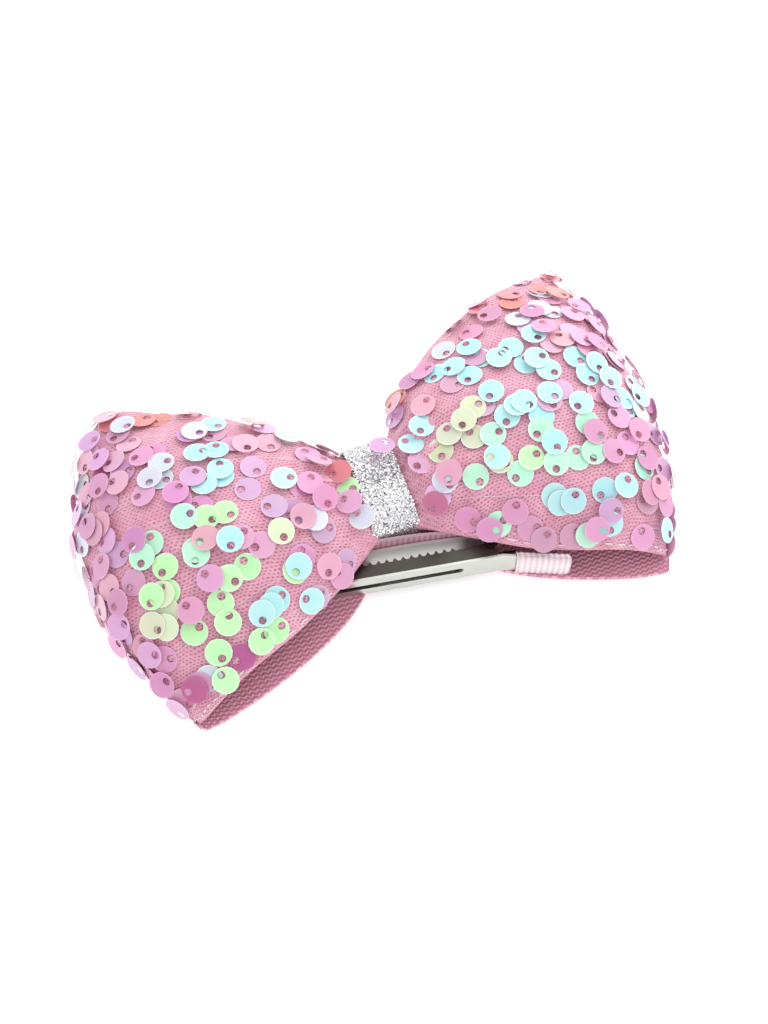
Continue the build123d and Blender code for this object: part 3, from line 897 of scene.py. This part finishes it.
def seatDiscs(middle, a, b, up, order, fixed, c=sequin):
    # in order, each disc rises along its normal until it is a gap above the planes of those under it
    # and they are a gap below its own; one that would rise past the limit is left out, unless fixed
    angle = np.arange(12) * math.pi / 6
    ring = c["radius"] * mm * np.stack([np.cos(angle), np.sin(angle)], -1)
    spots = np.concatenate([ring, 0.5 * ring, np.zeros((1, 2))])
    reach, gap = c["contact"] * c["radius"] * mm, c["gap"] * mm
    middle = middle.copy()
    placed = []
    for k in order:
        start = middle[k].copy()
        away = np.linalg.norm(middle - start, axis=1)
        if k not in fixed and away[fixed].min() < c["apart"] * mm:
            continue
        near = [j for j in placed if away[j] < c["nearby"] * reach and up[j] @ up[k] > c["facing"]]
        for _ in range(3):
            rise = 0.0
            for j in near:
                above = middle[k] + spots @ np.stack([a[k], b[k]]) - middle[j]
                below = middle[j] + spots @ np.stack([a[j], b[j]]) - middle[k]
                over = np.hypot(above @ a[j], above @ b[j]) < reach
                under = np.hypot(below @ a[k], below @ b[k]) < reach
                if over.any():
                    rise = max(rise, (gap - (above @ up[j])[over].min()) / (up[j] @ up[k]))
                if under.any():
                    rise = max(rise, (below @ up[k])[under].max() + gap)
            middle[k] += rise * up[k]
        if k in fixed or np.linalg.norm(middle[k] - start) < c["riseLimit"] * mm:
            placed.append(k)
    return middle, np.array(sorted(placed))


def filmNames(side, p, draw, c=sequin):
    # pink and lilac by default, with some coral along the far edge; inside a cluster the film's colour
    # wins more often near its middle
    count = len(p)
    usual = draw.choice(["pink", "lilac", "rose", "pink", "magenta", "white"], count,
                        p=[0.34, 0.27, 0.22, 0.10, 0.03, 0.04])
    farEdge = p[:, 1] / mm > c["coralFrom"] + c["coralSlope"] * np.abs(p[:, 0]) / mm
    coral = farEdge & (draw.random(count) < c["coralShare"])
    usual = np.where(coral, "coral", usual)
    chosen = usual.copy()
    for x, y, radius, film in clusters[side]:
        away = np.hypot(np.abs(p[:, 0]) / mm - x, p[:, 1] / mm - y) / radius
        chosen = np.where(draw.random(count) < c["pull"] * np.exp(-away**2 * c["fade"]), film, chosen)
    return chosen


def filmTint(names, rim, draw, c=sequin):
    # every disc gets its film's colour, shifted a little; its rim is denser and painted paler, a painted
    # highlight
    rows = [films[str(name)] for name in names]
    colour = np.array([row[0] for row in rows])
    rimHighlight = np.array([row[1] for row in rows])[:, None, None]
    dense = np.array([row[2] for row in rows])[:, None, None]
    count = len(rows)
    shade = draw.uniform(c["shadeLow"], c["shadeHigh"], (count, 1))
    colour = np.clip(colour * shade + draw.normal(0, c["tintSpread"], (count, 3)), 0, 1)
    pale = colour[:, None] + (1 - colour[:, None]) * rimHighlight * rim[None, :, None]
    alpha = np.broadcast_to(dense + (0.98 - dense) * rim[None, :, None], (*pale.shape[:2], 1))
    return np.concatenate([pale, alpha], -1)


def makeSequins(name, side, node):
    c = sequin
    draw = np.random.default_rng(c["seed"] + side)
    sites = sequinSites(side, draw)
    p, along, across, normal = surfaceFrames(
        lambda s, t: loopPoint(side, s, t), sites[:, 0], sites[:, 1], c["smoothing"])
    normal = outward(normal, p, np.array([side * 30, 0, 2]) * mm)
    own = [row for row in strays if row[0] == side]
    p = np.concatenate([p, np.array([row[1:4] for row in own]) * mm])
    normal = np.concatenate([normal, unit(np.array([(*row[4:6], 1.0) for row in own]))])
    across = np.concatenate([across, unit(np.cross(normal[-len(own):], [1.0, 0.0, 0.0]))])
    along = np.concatenate([along, np.cross(across[-len(own):], normal[-len(own):])])
    count = len(p)
    level = stackLevels(p, c["stackReach"] * c["radius"] * mm)
    way = draw.uniform(0, 2 * math.pi, count)[:, None]
    outDirection = unit(np.cos(way) * along + np.sin(way) * across)
    lean = np.radians(draw.uniform(c["leanLow"], c["leanHigh"], count))[:, None]
    loose = (draw.random((count, 1)) < c["loose"]) & (level == level.max())
    lean = lean + np.radians(c["looseLean"]) * draw.random((count, 1)) * loose
    roll = np.radians(draw.normal(0, c["roll"], count))[:, None]
    a = outDirection * np.cos(lean) + normal * np.sin(lean)
    up = normal * np.cos(lean) - outDirection * np.sin(lean)
    b = np.cross(up, a)
    b, up = b * np.cos(roll) + up * np.sin(roll), up * np.cos(roll) - b * np.sin(roll)
    behind = c["radius"] - c["offset"]
    lift = c["lift"] + behind * np.sin(lean) + c["radius"] * np.abs(np.sin(roll)) * 0.8
    middle = p + (lift * normal + c["offset"] * a) * mm
    fixed = list(range(count - len(own), count))
    order = [*fixed, *np.argsort(level[:fixed[0], 0], kind="stable")]
    middle, placed = seatDiscs(middle, a, b, up, order, fixed)
    template, faces, rim = discTemplate()
    cup = c["cup"] * (template[:, 0] ** 2 + template[:, 1] ** 2) / c["radius"]
    bend = np.clip(draw.normal(0, 1.0, (count, 1)), -c["cupLimit"], c["cupLimit"]) * cup
    points = (
        middle[:, None]
        + template[None, :, 0, None] * a[:, None] * mm
        + template[None, :, 1, None] * b[:, None] * mm
        + (template[None, :, 2] + bend)[..., None] * up[:, None] * mm
    )
    names = filmNames(side, middle, draw)
    names[count - len(own):] = [row[6] for row in own]
    tint = filmTint(names, rim, draw)
    clear = points[placed][..., 2].min(1) > c["floorGap"] * mm
    placed = placed[clear]
    allFaces = (faces[None] + (np.arange(len(placed)) * len(template))[:, None, None]).reshape(-1, 4)
    obj = addPiece(name, points[placed], allFaces, [sequinFilm], tint=tint[placed], flat=True)
    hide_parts(node)
    print("sequins on", name, len(placed), "of", count)


makeSequins("leftSequinDiscs", -1, "left_sequins")
makeSequins("rightSequinDiscs", 1, "right_sequins")

# Clear thread
strand = {
    "rows": 9, "from": 0.16, "to": 0.90, "width": 0.92,   # rows of running thread over each loop
    "radius": 0.06, "lift": 0.14, "sway": 0.02,
    "hemT": -0.985, "hemFrom": 0.30, "hemTo": 0.84, "hemPitch": 0.030, "hemLength": 0.019,
    "hemRadius": 0.20, "hemLift": 0.1,
    "points": 90, "hemPoints": 7, "slopeStep": 4e-3, "seed": 40,
}


def makeTubes(name, side, s, t, radius, lift, material):
    # square tubes along rows of parameters: each row of s and t is one thread on the loop's surface
    p, _, _, normal = surfaceFrames(lambda a, b: loopPoint(side, a, b), s, t, strand["slopeStep"])
    normal = outward(normal, p, np.array([side * 30, 0, 2]) * mm)
    way = unit(np.gradient(p, axis=1))
    cross = unit(np.cross(way, normal))
    angle = np.arange(4) * math.pi / 2
    taper = np.sin(np.linspace(0.12, math.pi - 0.12, s.shape[1])) ** 0.4
    ring = np.cos(angle)[:, None] * cross[..., None, :] + np.sin(angle)[:, None] * normal[..., None, :]
    points = (p + lift * mm * normal)[..., None, :] + radius * mm * taper[None, :, None, None] * ring
    faces = gridFaces(s.shape[1], 4, wrap=True)
    allFaces = (faces[None] + (np.arange(len(s)) * s.shape[1] * 4)[:, None, None]).reshape(-1, 4)
    obj = addPiece(name, points, allFaces[:, ::-1], [material])


def makeStrands(name, side):
    # running thread between the discs, one lengthwise row after another, each with a slow sway
    c = strand
    draw = np.random.default_rng(c["seed"] + side)
    s = np.broadcast_to(np.linspace(c["from"], c["to"], c["points"]), (c["rows"], c["points"]))
    middle = np.linspace(-c["width"], c["width"], c["rows"])[:, None]
    phase = draw.uniform(0, 6, (c["rows"], 1))
    t = middle + c["sway"] * np.sin(11 * s + phase) + 0.4 * c["sway"] * np.sin(31 * s + 2 * phase)
    makeTubes(name, side, s, t, c["radius"], c["lift"], clearThread)


def makeHem(name, side):
    # short glossy stitches one after another along the near edge
    c = strand
    start = np.arange(c["hemFrom"], c["hemTo"], c["hemPitch"])[:, None]
    s = start + np.linspace(0, c["hemLength"], c["hemPoints"])[None]
    t = np.full_like(s, c["hemT"]) + 0.006 * np.sin(40 * s)
    makeTubes(name, side, s, t, c["hemRadius"], c["hemLift"], clearThread)


for sideName, side in (("left", -1), ("right", 1)):
    makeStrands(sideName + "ClearStrands", side)
    makeHem(sideName + "HemStitches", side)
print("stage: thread")

# Floor, light
studio = {
    "halfFloor": 4.0, "floor": (0.95, 0.95, 0.95), "glow": 0.42, "world": 1.03,
    "keyPower": 3.1, "keySize": 0.8, "keyPlace": (0.42, 0.34, 0.38),
}


def makeStudio(c):
    # a flat pale floor, an even white sky and one large soft light behind the bow, to its right
    corner = np.array([[-1, -1, 0], [1, -1, 0], [1, 1, 0], [-1, 1, 0]]) * c["halfFloor"]
    mesh = bpy.data.meshes.new("floor")
    mesh.from_pydata(corner.tolist(), [], [(0, 1, 2, 3)])
    floor = bpy.data.objects.new("floor", mesh)
    bpy.context.collection.objects.link(floor)
    material, _, shader = newMaterial("floorPaper")
    shader.inputs["Base Color"].default_value = (*c["floor"], 1)
    shader.inputs["Roughness"].default_value = 0.9
    shader.inputs["Emission Color"].default_value = (1, 1, 1, 1)
    shader.inputs["Emission Strength"].default_value = c["glow"]
    mesh.materials.append(material)
    world = bpy.data.worlds.new("studio")
    world.use_nodes = True
    background = world.node_tree.nodes["Background"]
    background.inputs[0].default_value = (1, 1, 1, 1)
    background.inputs[1].default_value = c["world"]
    bpy.context.scene.world = world
    data = bpy.data.lights.new("key", "AREA")
    data.energy, data.size = c["keyPower"], c["keySize"]
    key = bpy.data.objects.new("key", data)
    bpy.context.collection.objects.link(key)
    place = np.array(c["keyPlace"])
    back = unit(place)
    right = unit(np.cross([0, 1, 0], back))
    matrix = np.eye(4)
    matrix[:3, :3] = np.stack([right, np.cross(back, right), back], 1)
    matrix[:3, 3] = place
    key.matrix_world = Matrix(matrix.tolist())


makeStudio(studio)
bpy.context.scene.view_settings.view_transform = "Standard"
print("stage: studio")
